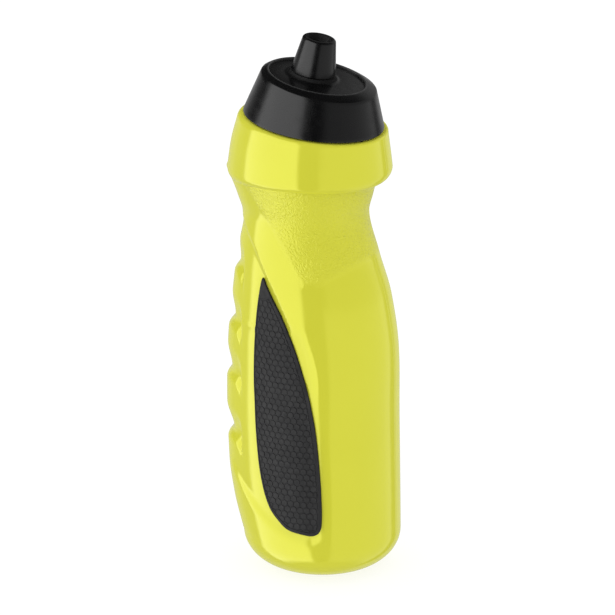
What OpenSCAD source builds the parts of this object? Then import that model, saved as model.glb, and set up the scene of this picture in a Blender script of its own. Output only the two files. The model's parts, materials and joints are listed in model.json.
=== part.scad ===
// Sports squeeze bottle with a leaning screw cap, a pull spout and two rubber grip panels.
// Millimetres, +Z up. The origin is the centre of the flat base that the bottle stands on.
// +X is the side that the cap leans to, -X is the back with the finger hollows, and the
// two grip panels are mirror images on the +Y and -Y sides.

/* [Body] */
// Radius of the round foot
foot_r = 36.6; // [35.6:0.2:38]
// Height of the rounding at the foot
foot_round = 17; // [16:0.5:17.5]
// Width of the rounding at the foot
foot_side = 19.2; // [17:0.2:19.4]
// Reach of the finger side behind the axis at mid height
back_reach = 45.4; // [43:0.2:47]
// Radius of the waist under the shoulder band
waist_r = 29.1; // [28.2:0.1:30]
// How far the waist sits back from the axis
waist_back = 8.3; // [7.5:0.1:9]
// Radius of the shoulder band at its widest line
band_r = 37.8; // [37:0.1:39]
// Height of the band's widest line
band_z = 191.5; // [190:0.5:193]
// Thickness of the bottle's wall
wall_t = 1.3; // [1:0.1:1.8]

/* [Finger side] */
// Depth of the hollow above a finger ledge
finger_depth = 2.6; // [1:0.1:3.4]
// Depth of the leaf-shaped recess that holds a grip panel
leaf_depth = 1.2; // [0.6:0.1:1.6]

/* [Cap] */
// Lean of the neck and the screw cap, in degrees
neck_lean = 8; // [6:0.5:9]
// Lean of the cap's top, in degrees
top_lean = 11.4; // [10.8:0.2:12]
// Outer radius at the foot of the cap's skirt
skirt_r = 32.5; // [32:0.1:33]
// Radius of the rim around the recessed disc
rim_r = 22.9; // [22.7:0.1:23.1]
// Depth of the disc below the rim
disc_drop = 1.1; // [0.8:0.1:1.4]

/* [Neck and thread] */
// Radius of the neck under the thread
neck_r = 25.2; // [25:0.1:25.3]
// Height of the neck above the band's ledge
neck_h = 12; // [11.5:0.1:12.2]
// How far the thread stands out of the neck
thread_h = 1.1; // [0.8:0.1:1.2]
// Rise of the two-start thread in one turn
thread_lead = 10; // [10:0.5:11]

/* [Spout] */
// Lean of the spout, in degrees
spout_lean = 10.5; // [10:0.5:11]
// Outer radius of the spout at its base
spout_base_r = 10.4; // [9.8:0.1:10.6]
// Outer radius of the spout at its tip
spout_tip_r = 7.6; // [7.2:0.1:8]
// Radius of the drinking hole
hole_r = 5.2; // [4:0.1:5.6]

/* [Hidden] */
$fn = 96;

BODY_YELLOW = [0.86, 0.89, 0.25];
GRIP_BLACK = [0.16, 0.16, 0.17];
CAP_BLACK = [0.08, 0.08, 0.09];
SEAL_GREY = [0.75, 0.75, 0.72];

segments = 56;          // steps round each ring of the body
stand_r = foot_r - foot_side;     // radius of the flat base
finger_z = [65, 94.3, 119.2, 145.6];            // height of each finger ledge at the back
finger_share = [1.15, 0.9, 1, 0.85];            // its hollow's share of finger_depth
ledge_z = 213.5;        // middle of the ledge that the cap stands over
cap_x = -4.4;           // the neck's axis crosses the ledge here
cap_gap = 0.35;         // between the ledge and the skirt
top_x = -2.68;          // centre of the rim
top_z = 234.06;         // its height
spout_x = -4.806;       // the spout's axis crosses the plane of the rim here
spout_z = 234.483;      // at this height
deck_hole_r = 21.5;     // hole through the deck, which the disc covers
thread_start = 2.8;     // middle of the thread's lower end above the ledge
thread_sweep = 250;     // degrees that each thread runs
thread_half = 0.8;      // half the height of the thread's crest
thread_flank = 0.5;
pitch = thread_lead / 2;
bore_r = 27;            // inside of the screw cap
deck_z = 13.25;         // underside of the cap's deck above the ledge
ring_r = 0.65;          // section radius of the spout's O-ring

// Stations of the body: height, centre, reach forward, reach back, half width
stations = [
    [foot_round, 0, foot_r, foot_r + 0.3, foot_r],
    [33, 0, foot_r - 0.2, back_reach - 3.8, foot_r - 0.1],
    [50, 0, foot_r - 0.5, back_reach - 1.1, foot_r - 0.1],
    [82, 0, foot_r - 1, back_reach, foot_r - 0.1],
    [108, -2, foot_r + 0.45, back_reach - 2.8, foot_r - 0.3],
    [130, -4, foot_r - 0.9, back_reach - 7, foot_r - 1.6],
    [150, -6.5, waist_r + 3.1, waist_r + 4.6, waist_r + 2.9],
    [170, -waist_back, waist_r, waist_r - 0.2, waist_r],
    [178.4, -waist_back - 0.1, waist_r + 1.9, waist_r + 2.1, waist_r + 2.1],
    [band_z, -waist_back - 0.1, waist_r + 5, waist_r + 7.3, waist_r + 6]
];

// Rings of the shoulder band above its widest line: height, centre, radius, lean
band_rings = [
    [band_z, -6.25, band_r, 0],
    [201.6, -5.9, band_r - 1.3, 3],
    [211.2, -4.9, band_r - 3.1, neck_lean - 2],
    [212.3, -4.6, band_r - 4, neck_lean - 0.8],
    [ledge_z - 0.4, cap_x, band_r - 5.1, neck_lean]
];

// Side view of a grip panel: height, rear edge, front edge
panel_rows = [
    [24.7, 7.5, 9.5],
    [26.5, -1.5, 12.2],
    [30, -6.5, 13.4],
    [36, -12.1, 13.5],
    [45, -16, 13.1],
    [57, -18.5, 12.4],
    [75, -20.2, 10.7],
    [89, -20.8, 8.3],
    [96, -21.1, 6.6],
    [104, -21, 4.2],
    [113, -20.7, 1.2],
    [122, -20.2, -2.7],
    [130, -19.6, -6.6],
    [143, -17.8, -14.7],
    [146, -17, -16.5]
];

// The front end of the bevel beside a panel, at each height
bevel_rows = [
    [foot_round, 16.8],
    [38, 17.1],
    [56, 16.5],
    [73, 15.2],
    [88, 13.6],
    [100, 12.2],
    [108, 10.3],
    [116, 7.4],
    [130, 2]
];

// The step above a panel's front edge, at each height
step_rows = [
    [118, 2.6],
    [123.5, -0.7],
    [136.6, -8.1],
    [146.5, -15.1],
    [158, -23],
    [166.3, -31.8],
    [174, -41]
];

// ---- curves ----

function clamp01(v) = min(max(v, 0), 1);
function smooth(a, b, v) = let (t = clamp01((v - a) / (b - a))) t * t * (3 - 2 * t);
function last(list) = list[len(list) - 1];

// Column c of rows at height z, on a curve that never overshoots its stations
function rise(rows, i, c) = (rows[i + 1][c] - rows[i][c]) / (rows[i + 1][0] - rows[i][0]);
function slope(rows, i, c) =
    i == 0 ? rise(rows, 0, c)
    : i == len(rows) - 1 ? rise(rows, i - 1, c)
    : let (p = rise(rows, i - 1, c), q = rise(rows, i, c)) p * q > 0 ? 2 * p * q / (p + q) : 0;
function span(rows, z, i = 0) = i >= len(rows) - 2 || z < rows[i + 1][0] ? i : span(rows, z, i + 1);
function curve(rows, z, c) = let (
    i = span(rows, z),
    h = rows[i + 1][0] - rows[i][0],
    t = clamp01((z - rows[i][0]) / h)
) (1 + 2 * t) * (1 - t) * (1 - t) * rows[i][c] + t * t * (3 - 2 * t) * rows[i + 1][c]
    + h * t * (1 - t) * ((1 - t) * slope(rows, i, c) - t * slope(rows, i + 1, c));

// ---- the body's wall ----

// Hollows over the finger ledges: sharp below and to the sides, running out softly above
finger_step = 5;        // height of a ledge's step
finger_fade = 13;       // height in which a hollow runs out above its ledge
finger_side = -30.3;    // the hollows end here on both sides
finger_wall = 2.5;      // width of the slope at their ends
curl_start = -37;       // from here to the sides each ledge curls down in a quarter ellipse
curl_w = 6.2;
curl_h = 9;
function finger_line(z0, x) =
    z0 - curl_h * (1 - sqrt(1 - pow(clamp01((x - curl_start) / curl_w), 2)));
function finger_dent(x, z) = finger_depth * smooth(finger_side, finger_side - finger_wall, x) * max([
    for (i = [0 : len(finger_z) - 1]) let (d = z - finger_line(finger_z[i], x))
        finger_share[i] * (1 - (d < 0 ? smooth(0, finger_step, -d) : smooth(0, finger_fade, d)))
]);

// The leaf-shaped recess has a bevel beside the panel, a step that slants up above it and a
// slanting ledge at the foot, and runs out towards the back and the waist
bevel_w = 4;
step_w = 2.6;
function leaf_dent(x, z) = let (
    bevel = clamp01((curve(bevel_rows, z, 1) - x) / bevel_w),
    gap = curve(step_rows, z, 1) - x,
    step = 0.6 * smooth(-0.1, 0.9, gap) + 0.4 * clamp01(gap / step_w),
    front = max(bevel * smooth(126, 118, z), step * smooth(118, 123, z)),
    ledge = smooth(0, 5.5, z - 18 - 0.0118 * pow(x - 13, 2))
) leaf_depth * front * ledge * smooth(172, 164, z) * smooth(-42, -30, x);

function dent(x, z) = finger_dent(x, z) + leaf_dent(x, z);

// Reach of the wall from its own centre in direction a, before the band
function wall_reach(a, z) =
    1 / norm([cos(a) / curve(stations, z, cos(a) > 0 ? 2 : 3), sin(a) / curve(stations, z, 4)]);

// The rounded lower edge of the shoulder band, which is highest on the sides and lowest behind
function band_drop(a) = 3.5 + (2.7 - 0.9 * cos(a)) * pow(cos(a), 2);
function band_reach(a, z) =
    z < band_z - band_drop(a) ? 0
    : let (r = band_r - 5 + 5 * sqrt(1 - pow((band_z - z) / band_drop(a), 2)),
           e = band_rings[0][1] - curve(stations, z, 1))
      e * cos(a) + sqrt(r * r - pow(e * sin(a), 2));

function wall_point(a, z, inset) = let (
    c = curve(stations, z, 1),
    r0 = max(wall_reach(a, z), band_reach(a, z)),
    r = r0 - dent(c + r0 * cos(a), z) - inset
) [c + r * cos(a), r * sin(a), z];

function ring_of(fun) = [for (i = [0 : segments - 1]) fun(i * 360 / segments)];
function flat_ring(r, z) = ring_of(function (a) [r * cos(a), r * sin(a), z]);
function wall_ring(z, inset = 0) = ring_of(function (a) wall_point(a, z, inset));
function leaning_ring(x, z, r, lean) =
    ring_of(function (a) [x + r * cos(a) * cos(lean), r * sin(a), z - r * cos(a) * sin(lean)]);
function foot_ring(t, inset = 0) =
    flat_ring(stand_r + (foot_side - inset) * sin(t), foot_round - (foot_round - inset) * cos(t));

// Thread on the neck: how far it stands out at angle a and height h above the ledge
function thread_out(a, h) = thread_h * max([
    for (start = [0, 180], turn = [0, 360]) let (
        along = a + turn - start,
        off = abs(h - thread_start - thread_lead * along / 360),
        ends = clamp01(along / 12) * clamp01((thread_sweep - along) / 12)
    ) ends * clamp01((thread_half + thread_flank - off) / thread_flank)
]);
function neck_ring(h, r, threaded = false) = ring_of(function (a)
    let (q = r + (threaded ? thread_out(a, h) : 0), x = q * cos(a))
    [cap_x + x * cos(neck_lean) + h * sin(neck_lean), q * sin(a),
     ledge_z - x * sin(neck_lean) + h * cos(neck_lean)]);

wall_levels = [for (z = [foot_round + 4 : 4.2 : band_z - 9]) z];
band_levels = [for (d = [7, 5.9, 4.8, 3.6, 2.4, 1.2]) band_z - d];
neck_levels = [for (h = [0.6 : 0.85 : neck_h - 0.4]) h];
inner_levels = [for (z = [foot_round + 5 : 16 : band_z - 10]) z];

outer_rings = concat(
    [for (t = [0 : 18 : 90]) foot_ring(t)],
    [for (z = concat(wall_levels, band_levels)) wall_ring(z)],
    [for (b = band_rings) leaning_ring(b[1], b[0], b[2], b[3])],
    [neck_ring(0, neck_r)],
    [for (h = neck_levels) neck_ring(h, neck_r, true)],
    [neck_ring(neck_h, neck_r)]
);
inner_rings = concat(
    [neck_ring(neck_h, neck_r - 2.4), neck_ring(-0.8, neck_r - 2.4)],
    [for (b = [band_rings[3], band_rings[1], band_rings[0]])
        leaning_ring(b[1], b[0] - wall_t, b[2] - wall_t, b[3])],
    [wall_ring(band_z - 6.5, wall_t)],
    [for (i = [len(inner_levels) - 1 : -1 : 0]) wall_ring(inner_levels[i], wall_t)],
    [for (t = [90, 72, 55, 36, 18, 0]) foot_ring(t, wall_t)]
);

// One closed skin from a stack of rings, with a point at each end
module ring_stack(rings, low, high) {
    n = len(rings[0]);
    points = concat([low], [for (r = rings) each r], [high]);
    side = [for (k = [0 : len(rings) - 2], i = [0 : n - 1]) let (
        a = 1 + k * n + i, b = 1 + k * n + (i + 1) % n
    ) each [[a, b + n, b], [a, a + n, b + n]]];
    ends = [for (i = [0 : n - 1]) let (
        j = (i + 1) % n, top = 1 + (len(rings) - 1) * n
    ) each [[0, 1 + i, 1 + j], [top + j, top + i, len(points) - 1]]];
    polyhedron(points, concat(side, ends), convexity = 8);
}

module bottle_body() {
    color(BODY_YELLOW)
        ring_stack(concat(outer_rings, inner_rings), [0, 0, 0], [0, 0, wall_t]);
}

// ---- grip panels ----

panel_t = 1.3;
panel_gap = 0.4;
panel_cols = 7;
panel_levels = [for (t = [0 : 1 / 22 : 1.001])
    panel_rows[0][0] + (last(panel_rows)[0] - panel_rows[0][0]) * (t - 0.11 * sin(720 * t) / 4)];

// Point on the -Y wall at side-view place (x, z), raised by out
function side_point(x, z, out) = let (
    c = curve(stations, z, 1),
    a = curve(stations, z, x > c ? 2 : 3),
    w = curve(stations, z, 4),
    y = w * sqrt(1 - pow((x - c) / a, 2)),
    n = [(x - c) / (a * a), y / (w * w)],
    r = (out - dent(x, z)) / norm(n)
) [x + n[0] * r, -y - n[1] * r, z];

function panel_sheet(out) = [for (z = panel_levels, j = [0 : panel_cols - 1]) let (
    rear = curve(panel_rows, z, 1), front = curve(panel_rows, z, 2)
) side_point(rear + (front - rear) * j / (panel_cols - 1), z, out)];

module grip_panel() {
    rows = len(panel_levels);
    n = panel_cols;
    m = rows * n;
    sheets = [for (k = [0 : rows - 2], j = [0 : n - 2]) let (a = k * n + j) each [
        [a, a + 1, a + n + 1], [a, a + n + 1, a + n],
        [m + a, m + a + n + 1, m + a + 1], [m + a, m + a + n, m + a + n + 1]]];
    sides = [for (k = [0 : rows - 2]) let (a = k * n, b = a + n - 1) each [
        [a, a + n, m + a + n], [a, m + a + n, m + a],
        [b, m + b + n, b + n], [b, m + b, m + b + n]]];
    ends = [for (j = [0 : n - 2]) let (a = j, b = (rows - 1) * n + j) each [
        [a, m + a + 1, a + 1], [a, m + a, m + a + 1],
        [b, b + 1, m + b + 1], [b, m + b + 1, m + b]]];
    polyhedron(concat(panel_sheet(panel_gap), panel_sheet(panel_t)), concat(sheets, sides, ends),
               convexity = 4);
}

module grip_right() {
    color(GRIP_BLACK) grip_panel();
}

module grip_left() {
    color(GRIP_BLACK) mirror([0, 1, 0]) grip_panel();
}

// ---- cap ----

// Children stand on the ledge, along the neck's axis
module neck_frame() {
    translate([cap_x, 0, ledge_z]) rotate([0, neck_lean, 0]) children();
}

// Children stand at the middle of the cap's rim, along the top's axis
module top_frame() {
    translate([top_x, 0, top_z]) rotate([0, top_lean, 0]) children();
}

// Children stand on the spout's axis, at the height of the rim
module spout_frame() {
    translate([spout_x, 0, spout_z]) rotate([0, spout_lean, 0]) children();
}

skirt_taper = 16;       // degrees
skirt_h = 28;           // above the cap's top at any angle
chamfer_r = 23.4;       // upper edge of the chamfer round the cap's top
chamfer_slope = 27.9;   // degrees
chamfer_x = 0.6;        // the chamfer's axis stands this far in front of the rim's

// Everything below the cap's top and its chamfer
module under_top() {
    reach = 40;
    translate([chamfer_x, 0, 0]) rotate_extrude()
        polygon([[0, 0], [chamfer_r, 0], [chamfer_r + reach, -reach * tan(chamfer_slope)],
                 [0, -reach]]);
}

lug_h = 1.3;
lug_sweep = 12;
lug_r = neck_r + 0.55;

// A lug that runs under the thread, this many degrees along it
module lug(along) {
    rotate([0, 0, along - lug_sweep / 2])
        translate([0, 0, thread_start + thread_lead * along / 360 - pitch / 2])
            rotate_extrude(angle = lug_sweep)
                polygon([[lug_r, -lug_h / 2 + 0.2], [bore_r + 0.4, -lug_h / 2 - 0.1],
                         [bore_r + 0.4, lug_h / 2 + 0.1], [lug_r, lug_h / 2 - 0.2]]);
}

module cap_shell() {
    color(CAP_BLACK) {
        difference() {
            intersection() {
                neck_frame() translate([0, 0, cap_gap])
                    cylinder(r1 = skirt_r, r2 = skirt_r - skirt_h * tan(skirt_taper), h = skirt_h);
                top_frame() under_top();
            }
            neck_frame() translate([0, 0, -5]) cylinder(r = bore_r, h = deck_z + 5);
            neck_frame() translate([0, 0, cap_gap - 0.1])
                cylinder(r1 = skirt_r - 1.8, r2 = bore_r, h = 4);
            top_frame() translate([0, 0, -disc_drop - 1.6]) cylinder(r = rim_r - 0.25, h = 12);
            top_frame() translate([0, 0, -disc_drop])
                cylinder(r1 = rim_r - 0.25, r2 = rim_r, h = disc_drop);
            top_frame() translate([0, 0, -14]) cylinder(r = deck_hole_r, h = 20);
        }
        neck_frame() for (start = [0, 180], along = [130, 220]) rotate([0, 0, start]) lug(along);
    }
}

chimney_r = 5.95;
chimney_top = 10.2;
pin_r = 3.05;
flare_w = 3;            // the disc curves up to the spout's foot
flare_h = 1.9;

module cap_insert() {
    color(CAP_BLACK) {
        difference() {
            union() {
                top_frame() translate([0, 0, -disc_drop - 1.55])
                    cylinder(r = rim_r - 0.3, h = 1.55);
                spout_frame() rotate_extrude() polygon(concat(
                    [[0, -disc_drop - 1]],
                    [[spout_base_r + flare_w - 0.2, -disc_drop - 1]],
                    [for (t = [0 : 15 : 90])
                        [spout_base_r - 0.2 + flare_w * (1 - sin(t)),
                         -disc_drop + flare_h * (1 - cos(t))]],
                    [[chimney_r, -disc_drop + flare_h], [chimney_r, 7.9], [5, 7.9], [5, 9.2],
                     [6.2, 9.4], [6.2, 9.9], [chimney_r, chimney_top], [0, chimney_top]]
                ));
            }
            spout_frame() translate([0, 0, -8]) cylinder(r = 4.1, h = 30);
        }
        spout_frame() {
            for (a = [0, 120, 240]) rotate([0, 0, a]) translate([0, -0.6, -3]) cube([4.4, 1.2, 12]);
            rotate_extrude() polygon([[0, -3], [1.6, -3], [1.6, 11.2], [pin_r, 12.4],
                                      [pin_r, 13.8], [pin_r - 0.4, 14.1], [0, 14.1]]);
        }
    }
}

module spout_ring() {
    color(SEAL_GREY) spout_frame() translate([0, 0, 8.55])
        rotate_extrude() translate([5.65, 0]) circle(r = ring_r);
}

spout_z0 = 1.1;         // foot of the spout above the plane of the rim
spout_z1 = 17.8;        // its tip

module spout() {
    color(CAP_BLACK) spout_frame() rotate_extrude() polygon(concat(
        [[6.05, spout_z0], [spout_base_r - 0.5, spout_z0], [spout_base_r, spout_z0 + 0.5]],
        [for (t = [0 : 15 : 90])
            [spout_tip_r - 0.8 + 0.8 * cos(t), spout_z1 - 0.8 + 0.8 * sin(t)]],
        [[hole_r + 0.35, spout_z1], [hole_r, spout_z1 - 0.35], [3.15, 13.8], [3.15, 12.6],
         [6.35, 11.5], [6.35, spout_z0 + 1.2], [6.05, spout_z0 + 0.9]]
    ));
}

module neck_gasket() {
    color(SEAL_GREY) neck_frame() translate([0, 0, neck_h + 0.05]) difference() {
        cylinder(r = bore_r - 0.4, h = deck_z - neck_h - 0.1);
        translate([0, 0, -1]) cylinder(r = neck_r - 3.2, h = 5);
    }
}

bottle_body();
grip_left();
grip_right();
cap_shell();
cap_insert();
spout();
neck_gasket();
spout_ring();
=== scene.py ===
"""Looks of a sports squeeze bottle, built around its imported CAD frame.

Shapes are worked out in millimetres and turned into metres when a mesh is made. +X is the side that
the cap leans to, -X is the back with the finger hollows, and the grip panels face +Y and -Y.
"""

import json
import math

import bpy
import numpy as np
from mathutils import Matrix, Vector
from mathutils.geometry import delaunay_2d_cdt


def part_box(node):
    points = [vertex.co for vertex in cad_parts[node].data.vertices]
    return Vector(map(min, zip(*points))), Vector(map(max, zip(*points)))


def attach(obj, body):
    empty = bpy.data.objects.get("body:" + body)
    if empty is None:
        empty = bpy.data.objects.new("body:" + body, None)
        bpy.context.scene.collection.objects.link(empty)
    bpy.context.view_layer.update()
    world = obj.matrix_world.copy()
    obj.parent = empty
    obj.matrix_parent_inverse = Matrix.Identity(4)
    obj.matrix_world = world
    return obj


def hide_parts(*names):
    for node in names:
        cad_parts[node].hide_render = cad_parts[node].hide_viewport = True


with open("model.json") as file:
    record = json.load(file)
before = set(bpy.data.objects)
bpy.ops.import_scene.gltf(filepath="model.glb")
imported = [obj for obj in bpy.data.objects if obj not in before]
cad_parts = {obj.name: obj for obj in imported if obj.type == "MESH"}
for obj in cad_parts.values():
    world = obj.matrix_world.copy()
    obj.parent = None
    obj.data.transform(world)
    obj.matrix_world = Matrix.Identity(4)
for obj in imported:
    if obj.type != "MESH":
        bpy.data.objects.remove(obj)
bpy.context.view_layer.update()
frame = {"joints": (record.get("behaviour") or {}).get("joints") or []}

MM = 0.001

# ---- sizes that the frame gives ----

JOINTS = {joint["name"]: joint for joint in frame["joints"]}


def box_mm(node):
    low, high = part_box(node)
    return np.array(low) / MM, np.array(high) / MM


BODY_HIGH = box_mm("bottle_body")[1]
FOOT_R = BODY_HIGH[0]
BAND_R = BODY_HIGH[1]

# ---- sizes of the body, the same driving dimensions as in the CAD ----

FOOT_ROUND = 17.0       # height of the rounding at the foot
FOOT_SIDE = 20.6        # its width
BACK_REACH = 45.4       # reach of the finger side behind the axis
WAIST_R = 29.1          # radius of the waist under the shoulder band
WAIST_BACK = 8.3        # the waist sits this far back from the axis
BAND_Z = 191.5          # the shoulder band's widest line
WALL_T = 1.3            # thickness of the wall
LEDGE_ROUND = 5.1       # the ledge under the cap is this much inside the band
LEDGE_DROP = 0.4        # and ends this far below the foot of the neck
NECK_R = 25.2
NECK_H = 12.0           # height of the neck above the ledge
NECK_T = 2.4            # thickness of the neck's wall
THREAD_H = 1.1          # how far the thread stands out
THREAD_LEAD = 10.0      # rise of the two-start thread in one turn
THREAD_START = 2.8      # middle of its lower end above the ledge
THREAD_SWEEP = 250.0    # degrees that each thread runs
THREAD_RUN_OUT = 12.0   # degrees in which it rises out of the neck at its ends
THREAD_HALF = 0.8       # half the height of its crest
THREAD_FLANK = 0.5
AROUND = 288            # steps round the body

STATIONS = [            # height, centre, reach forward, reach back, half width
    [FOOT_ROUND, 0, FOOT_R, FOOT_R + 0.3, FOOT_R],
    [33, 0, FOOT_R - 0.2, BACK_REACH - 3.8, FOOT_R - 0.1],
    [50, 0, FOOT_R - 0.5, BACK_REACH - 1.1, FOOT_R - 0.1],
    [82, 0, FOOT_R - 1, BACK_REACH, FOOT_R - 0.1],
    [108, -2, FOOT_R + 0.45, BACK_REACH - 2.8, FOOT_R - 0.3],
    [130, -4, FOOT_R - 0.9, BACK_REACH - 7, FOOT_R - 1.6],
    [150, -6.5, WAIST_R + 3.1, WAIST_R + 4.6, WAIST_R + 2.9],
    [170, -WAIST_BACK, WAIST_R, WAIST_R - 0.2, WAIST_R],
    [178.4, -WAIST_BACK - 0.1, WAIST_R + 1.9, WAIST_R + 2.1, WAIST_R + 2.1],
    [BAND_Z, -WAIST_BACK - 0.1, WAIST_R + 5, WAIST_R + 7.3, WAIST_R + 6],
]
BAND_ROWS = [           # height, centre, radius, lean
    [BAND_Z, -6.25, BAND_R, 0],
    [201.6, -5.9, BAND_R - 1.3, 3],
    [211.2, -4.9, BAND_R - 3.1, 6],
]
PANEL_ROWS = [          # side view of a grip panel: height, rear edge, front edge
    [24.7, 7.5, 9.5],
    [26.5, -2.3, 12.2],
    [30, -7.2, 13.3],
    [36, -12.5, 13.4],
    [45, -16, 13.1],
    [57, -18.5, 12.4],
    [75, -20.2, 10.7],
    [89, -20.8, 8.3],
    [96, -21.1, 6.6],
    [104, -21, 4.2],
    [113, -20.7, 1.2],
    [122, -20.2, -2.7],
    [130, -19.6, -6.9],
    [143, -17.9, -15.4],
    [146, -17.2, -16.9],
]
BEVEL_ROWS = [          # front end of the bevel beside a panel: height, place
    [17, 16.8],
    [38, 17.1],
    [56, 16.5],
    [73, 15.2],
    [88, 13.6],
    [100, 12.2],
    [108, 10.3],
    [116, 7.4],
    [130, 2],
]
RIDGE_ROWS = [          # step above a panel's front edge: height, place
    [118, 2.6],
    [123.5, -0.7],
    [136.6, -8.1],
    [146.5, -15.1],
    [158, -23],
    [166.3, -31.8],
    [174, -41],
]
FINGER_Z = [65, 94.3, 119.2, 145.6]         # height of each finger ledge at the back
FINGER_DEPTH = [3.0, 2.35, 2.6, 2.2]        # depth of the hollow above it
FINGER_STEP = 5         # height of a ledge's step
FINGER_FADE = 13        # height in which a hollow runs out above its ledge
FINGER_SIDE = -30.3     # the hollows end here on both sides
FINGER_WALL = 2.5       # width of the slope at their ends
CURL_START = -37        # from here to the sides each ledge curls down in a quarter ellipse
CURL_W = 6.2
CURL_H = 9
LEAF_DEPTH = 1.2        # depth of the leaf-shaped recess round a grip panel
LEAF_TOP = (172, 164)   # heights in which it runs out towards the waist
LEAF_BACK = (-42, -30)  # places in which it runs out towards the back
BEVEL_W = 4             # width of the bevel in front of a panel, high up
BEVEL_WIDER = 4         # it gets this much wider towards the foot
BEVEL_TO_STEP = (118, 126)  # heights in which the bevel gives way to the step above the panel
STEP_W = 2.6
BAND_ROUND = 5          # how far the band's lower edge is rounded in


def clamp01(v):
    return np.clip(v, 0.0, 1.0)


def smooth(a, b, v):
    t = clamp01((v - a) / (b - a))
    return t * t * (3 - 2 * t)


def curve(rows, z, column):
    """Column of rows at height z, on a curve that never overshoots its stations."""
    table = np.array(rows, float)
    height, value = table[:, 0], table[:, column]
    step = np.diff(height)
    rise = np.diff(value) / step
    both = rise[:-1] * rise[1:]
    mean = np.where(both > 0, 2 * both / np.where(both > 0, rise[:-1] + rise[1:], 1), 0)
    slope = np.concatenate([rise[:1], mean, rise[-1:]])
    i = np.clip(np.searchsorted(height, z, side="right") - 1, 0, len(step) - 1)
    t = clamp01((z - height[i]) / step[i])
    ease = t * t * (3 - 2 * t)
    bend = step[i] * t * (1 - t) * ((1 - t) * slope[i] - t * slope[i + 1])
    return (1 - ease) * value[i] + ease * value[i + 1] + bend


# ---- the body's wall ----

def finger_dent(x, z):
    """Hollows over the finger ledges: sharp below and at their ends, running out softly above."""
    curl = CURL_H * (1 - np.sqrt(1 - clamp01((x - CURL_START) / CURL_W) ** 2))
    deep = np.zeros_like(x)
    for z0, depth in zip(FINGER_Z, FINGER_DEPTH):
        d = z - z0 + curl
        filled = np.where(d < 0, smooth(0, FINGER_STEP, -d), smooth(0, FINGER_FADE, d))
        deep = np.maximum(deep, depth * (1 - filled))
    return deep * smooth(FINGER_SIDE, FINGER_SIDE - FINGER_WALL, x)


def leaf_dent(x, z):
    """The leaf-shaped recess: a bevel in front of the panel, a step above, a slanting ledge below."""
    bevel_w = BEVEL_W + BEVEL_WIDER * smooth(112, 85, z)
    bevel = clamp01((curve(BEVEL_ROWS, z, 1) - x) / bevel_w) ** 1.3
    gap = curve(RIDGE_ROWS, z, 1) - x
    step = 0.3 * smooth(-0.1, 0.5, gap) + 0.7 * clamp01(gap / STEP_W)
    low, high = BEVEL_TO_STEP
    front = np.maximum(bevel * smooth(high, low, z), step * smooth(low, low + 5, z))
    ledge_z = 18 + 0.0118 * (x - 13) ** 2
    ledge = smooth(0, 5.5, z - ledge_z)
    return LEAF_DEPTH * front * ledge * smooth(*LEAF_TOP, z) * smooth(*LEAF_BACK, x)


def dent(x, z):
    return finger_dent(x, z) + leaf_dent(x, z)


def wall_reach(a, z):
    long_side = np.where(np.cos(a) > 0, curve(STATIONS, z, 2), curve(STATIONS, z, 3))
    return 1 / np.hypot(np.cos(a) / long_side, np.sin(a) / curve(STATIONS, z, 4))


def band_reach(a, z):
    """The shoulder band's rounded lower edge, which is highest on the sides and lowest behind."""
    drop = 3.5 + (2.7 - 0.9 * np.cos(a)) * np.cos(a) ** 2
    below = clamp01((BAND_Z - z) / drop)
    r = BAND_R - BAND_ROUND + BAND_ROUND * np.sqrt(1 - below ** 2)
    e = BAND_ROWS[0][1] - curve(STATIONS, z, 1)
    reach = e * np.cos(a) + np.sqrt(np.maximum(r * r - (e * np.sin(a)) ** 2, 0))
    return np.where(z < BAND_Z - drop, 0, reach)


def wall_ring(a, z, inset=0.0):
    z = np.full_like(a, z)
    centre = curve(STATIONS, z, 1)
    outer = np.maximum(wall_reach(a, z), band_reach(a, z))
    r = outer - dent(centre + outer * np.cos(a), z) - inset
    return np.stack([centre + r * np.cos(a), r * np.sin(a), z], 1)


def flat_ring(a, r, z):
    return np.stack([r * np.cos(a), r * np.sin(a), np.full_like(a, z)], 1)


def leaning_ring(a, centre, z, r, lean):
    x = r * np.cos(a)
    return np.stack([centre + x * math.cos(lean), r * np.sin(a), z - x * math.sin(lean)], 1)


class Place:
    """Leaning axes at a point: z along an axis in the XZ plane, y along +Y."""

    def __init__(self, origin, axis):
        self.origin = np.array(origin, float)
        self.z = np.array(axis, float) / np.linalg.norm(axis)
        self.y = np.array([0.0, 1.0, 0.0])
        self.x = np.cross(self.y, self.z)
        self.lean = math.atan2(self.z[0], self.z[2])

    def at(self, x, y, z):
        x, y, z = np.broadcast_arrays(np.asarray(x, float), y, z)
        return self.origin + x[..., None] * self.x + y[..., None] * self.y + z[..., None] * self.z

    def ring(self, a, r, z, shift=0.0):
        return self.at(shift + r * np.cos(a), r * np.sin(a), z)

    def local(self, points):
        d = points - self.origin
        return d @ self.x, d @ self.y, d @ self.z


NECK = Place(np.array(JOINTS["cap_screw"]["pos_m"]) / MM, JOINTS["cap_screw"]["axis"])
RING_Z = 8.55           # the spout's O-ring stands this far above the cap's rim
RING_CENTRE = (box_mm("spout_ring")[0] + box_mm("spout_ring")[1]) / 2
SPOUT_AXIS = np.array(JOINTS["spout_pull"]["axis"], float)
SPOUT = Place(RING_CENTRE - RING_Z * SPOUT_AXIS, SPOUT_AXIS)
TOP_LEAN = math.radians(11.4)
TOP_CENTRE = (-2.68, 0, 234.06)         # middle of the cap's rim
TOP = Place(TOP_CENTRE, (math.sin(TOP_LEAN), 0, math.cos(TOP_LEAN)))


# ---- meshes ----

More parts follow.
